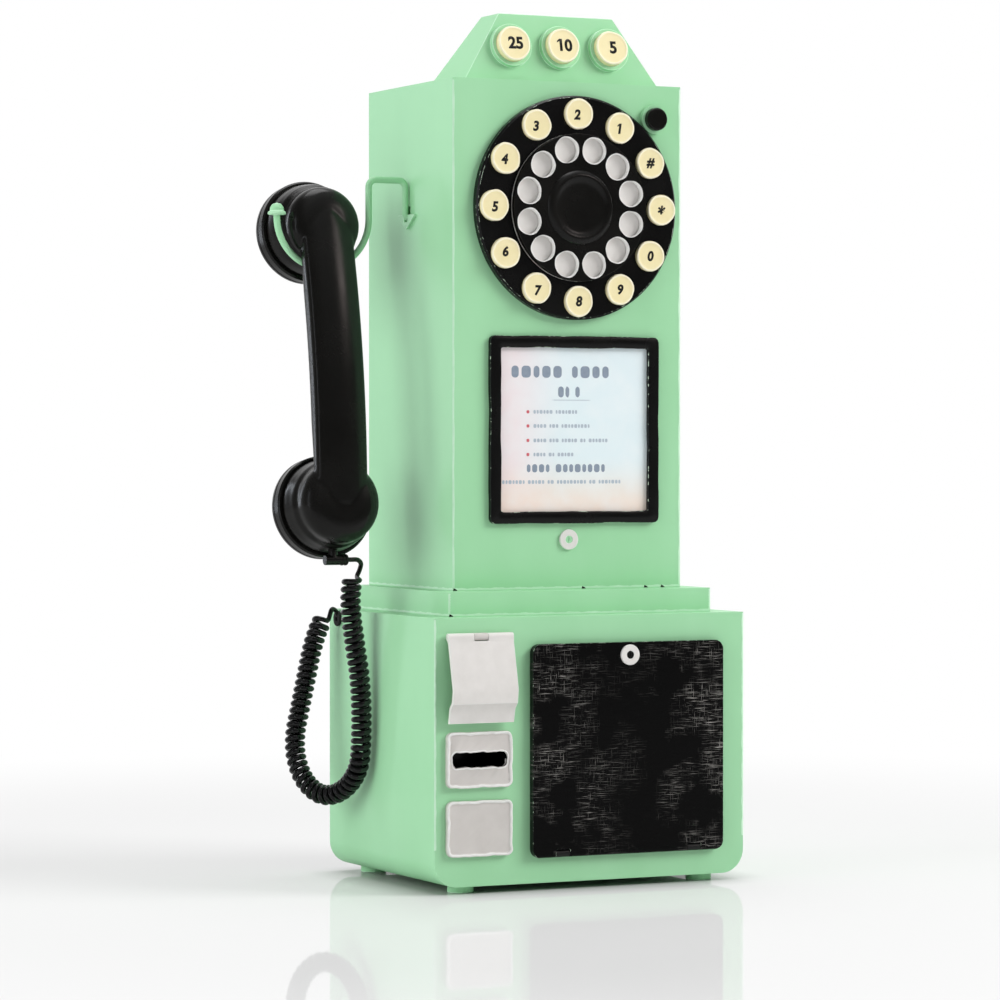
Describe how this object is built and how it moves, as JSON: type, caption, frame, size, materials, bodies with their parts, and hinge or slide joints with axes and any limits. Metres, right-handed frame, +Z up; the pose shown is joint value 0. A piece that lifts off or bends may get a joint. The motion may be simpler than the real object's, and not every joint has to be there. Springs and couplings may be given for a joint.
{
  "type": "coin-style wall telephone",
  "caption": "Tall stepped wall telephone in the style of a coin phone: round keypad with a finger wheel, card frame, coin return flap, vault door and a corded handset on a wire fork.",
  "frame": {"origin": "on the surface that the feet stand on, under the middle of the base housing", "axes": "+Z up, -Y out of the front, the handset hangs on the -X side"},
  "size_m": [0.245, 0.147, 0.47],
  "materials": {
    "green_paint": "semi-gloss enamel",
    "grey_paint": "satin",
    "black_paint": "satin, dry-brushed",
    "silver_paint": "satin silver paint",
    "zinc_steel": "satin",
    "gong_brass": "satin",
    "black_gloss": "gloss",
    "cream_plastic": "satin",
    "ivory_plastic": "satin",
    "dark_plastic": "satin",
    "grey_rubber": "matt",
    "black_rubber": "matt",
    "black_cord": "semi-gloss",
    "board": "satin",
    "card": "matt card"
  },
  "bodies": {
    "cabinet": {"feet": "green_paint", "base_housing": "green_paint", "step_plinth": "green_paint", "upper_housing": "green_paint", "crown_hood": "green_paint", "back_panel": "grey_paint", "case_screws": "zinc_steel", "dial_plate": "black_gloss", "finger_plate": "silver_paint", "wheel_spindle": "zinc_steel", "key_mat": "grey_rubber", "keypad_board": "board", "dial_screws": "zinc_steel", "card_frame": "black_paint", "instruction_card": "card", "upper_lock_body": "silver_paint", "coin_return_cup": "grey_paint", "hinge_knuckles": "black_paint", "coin_slot_plate": "silver_paint", "coin_chute": "grey_paint", "blank_plate": "silver_paint", "hook_socket": "green_paint", "hook_switch": "dark_plastic", "ringer_gongs": "gong_brass", "ringer_frame": "zinc_steel", "line_jack": "ivory_plastic", "coin_box": "grey_paint", "cord_grommet": "black_rubber", "handset_cord": "black_cord", "return_springs": "zinc_steel"},
    "finger_wheel": {"finger_wheel": "black_gloss", "wheel_hub": "black_gloss"},
    "key_1": {"key_1": "cream_plastic"},
    "key_2": {"key_2": "cream_plastic"},
    "key_3": {"key_3": "cream_plastic"},
    "key_4": {"key_4": "cream_plastic"},
    "key_5": {"key_5": "cream_plastic"},
    "key_6": {"key_6": "cream_plastic"},
    "key_7": {"key_7": "cream_plastic"},
    "key_8": {"key_8": "cream_plastic"},
    "key_9": {"key_9": "cream_plastic"},
    "key_0": {"key_0": "cream_plastic"},
    "key_star": {"key_star": "cream_plastic"},
    "key_hash": {"key_hash": "cream_plastic"},
    "coin_button_25": {"coin_button_25": "cream_plastic"},
    "coin_button_10": {"coin_button_10": "cream_plastic"},
    "coin_button_5": {"coin_button_5": "cream_plastic"},
    "release_button": {"release_button": "black_gloss"},
    "upper_lock_plug": {"upper_lock_plug": "silver_paint"},
    "vault_lock_plug": {"vault_lock_plug": "dark_plastic"},
    "coin_return_flap": {"coin_return_flap": "silver_paint"},
    "clapper": {"clapper": "zinc_steel"},
    "vault_door": {"vault_door": "black_paint", "vault_lock_body": "silver_paint"},
    "hook": {"hook_wire": "green_paint"},
    "handset": {"handset_handle": "black_gloss", "earpiece_cap": "black_gloss", "mouthpiece_cap": "black_gloss", "handset_capsules": "zinc_steel", "handset_boot": "black_rubber"}
  },
  "joints": [
    {"name": "finger_wheel_turn", "type": "hinge", "parent": "cabinet", "child": "finger_wheel", "pos_m": [0.0035, -0.045, 0.365], "axis": [0, -1, 0], "continuous": true},
    {"name": "key_1_press", "type": "slide", "parent": "cabinet", "child": "key_1", "axis": [0, 1, 0], "range_m": [0, 0.0015], "stiffness_N_per_m": 500, "springref_m": -0.001, "deforming": ["key_mat"]},
    {"name": "key_2_press", "type": "slide", "parent": "cabinet", "child": "key_2", "axis": [0, 1, 0], "range_m": [0, 0.0015], "stiffness_N_per_m": 500, "springref_m": -0.001, "deforming": ["key_mat"]},
    {"name": "key_3_press", "type": "slide", "parent": "cabinet", "child": "key_3", "axis": [0, 1, 0], "range_m": [0, 0.0015], "stiffness_N_per_m": 500, "springref_m": -0.001, "deforming": ["key_mat"]},
    {"name": "key_4_press", "type": "slide", "parent": "cabinet", "child": "key_4", "axis": [0, 1, 0], "range_m": [0, 0.0015], "stiffness_N_per_m": 500, "springref_m": -0.001, "deforming": ["key_mat"]},
    {"name": "key_5_press", "type": "slide", "parent": "cabinet", "child": "key_5", "axis": [0, 1, 0], "range_m": [0, 0.0015], "stiffness_N_per_m": 500, "springref_m": -0.001, "deforming": ["key_mat"]},
    {"name": "key_6_press", "type": "slide", "parent": "cabinet", "child": "key_6", "axis": [0, 1, 0], "range_m": [0, 0.0015], "stiffness_N_per_m": 500, "springref_m": -0.001, "deforming": ["key_mat"]},
    {"name": "key_7_press", "type": "slide", "parent": "cabinet", "child": "key_7", "axis": [0, 1, 0], "range_m": [0, 0.0015], "stiffness_N_per_m": 500, "springref_m": -0.001, "deforming": ["key_mat"]},
    {"name": "key_8_press", "type": "slide", "parent": "cabinet", "child": "key_8", "axis": [0, 1, 0], "range_m": [0, 0.0015], "stiffness_N_per_m": 500, "springref_m": -0.001, "deforming": ["key_mat"]},
    {"name": "key_9_press", "type": "slide", "parent": "cabinet", "child": "key_9", "axis": [0, 1, 0], "range_m": [0, 0.0015], "stiffness_N_per_m": 500, "springref_m": -0.001, "deforming": ["key_mat"]},
    {"name": "key_0_press", "type": "slide", "parent": "cabinet", "child": "key_0", "axis": [0, 1, 0], "range_m": [0, 0.0015], "stiffness_N_per_m": 500, "springref_m": -0.001, "deforming": ["key_mat"]},
    {"name": "key_star_press", "type": "slide", "parent": "cabinet", "child": "key_star", "axis": [0, 1, 0], "range_m": [0, 0.0015], "stiffness_N_per_m": 500, "springref_m": -0.001, "deforming": ["key_mat"]},
    {"name": "key_hash_press", "type": "slide", "parent": "cabinet", "child": "key_hash", "axis": [0, 1, 0], "range_m": [0, 0.0015], "stiffness_N_per_m": 500, "springref_m": -0.001, "deforming": ["key_mat"]},
    {"name": "coin_button_25_press", "type": "slide", "parent": "cabinet", "child": "coin_button_25", "axis": [0, 0.9774, -0.2113], "range_m": [0, 0.0025], "stiffness_N_per_m": 300, "springref_m": -0.002, "deforming": ["return_springs"]},
    {"name": "coin_button_10_press", "type": "slide", "parent": "cabinet", "child": "coin_button_10", "axis": [0, 0.9774, -0.2113], "range_m": [0, 0.0025], "stiffness_N_per_m": 300, "springref_m": -0.002, "deforming": ["return_springs"]},
    {"name": "coin_button_5_press", "type": "slide", "parent": "cabinet", "child": "coin_button_5", "axis": [0, 0.9774, -0.2113], "range_m": [0, 0.0025], "stiffness_N_per_m": 300, "springref_m": -0.002, "deforming": ["return_springs"]},
    {"name": "release_button_press", "type": "slide", "parent": "cabinet", "child": "release_button", "axis": [0, 1, 0], "range_m": [0, 0.003], "stiffness_N_per_m": 300, "springref_m": -0.002, "deforming": ["return_springs"]},
    {"name": "upper_lock_turn", "type": "hinge", "parent": "cabinet", "child": "upper_lock_plug", "pos_m": [0, -0.0405, 0.1858], "axis": [0, -1, 0], "range_deg": [0, 90]},
    {"name": "vault_door_open", "type": "hinge", "parent": "cabinet", "child": "vault_door", "pos_m": [0.0205, -0.0708, 0.0195], "axis": [1, 0, 0], "range_deg": [0, 90]},
    {"name": "vault_lock_turn", "type": "hinge", "parent": "vault_door", "child": "vault_lock_plug", "pos_m": [0.0205, -0.0728, 0.1245], "axis": [0, -1, 0], "range_deg": [0, 90]},
    {"name": "coin_return_open", "type": "hinge", "parent": "cabinet", "child": "coin_return_flap", "pos_m": [-0.0675, -0.0708, 0.136], "axis": [-1, 0, 0], "range_deg": [0, 60]},
    {"name": "handset_lift", "type": "slide", "parent": "cabinet", "child": "handset", "axis": [0, 0, 1], "range_m": [0, 0.09], "deforming": ["handset_cord"]},
    {"name": "hook_rise", "type": "slide", "parent": "cabinet", "child": "hook", "axis": [0, 0, 1], "range_m": [0, 0.003]},
    {"name": "clapper_swing", "type": "hinge", "parent": "cabinet", "child": "clapper", "pos_m": [0, 0.0385, 0.25], "axis": [0, -1, 0], "range_deg": [-5, 5]}
  ],
  "couplings": [
    {"joint": "hook_rise", "follows": "handset_lift", "ratio": 0.03333}
  ]
}
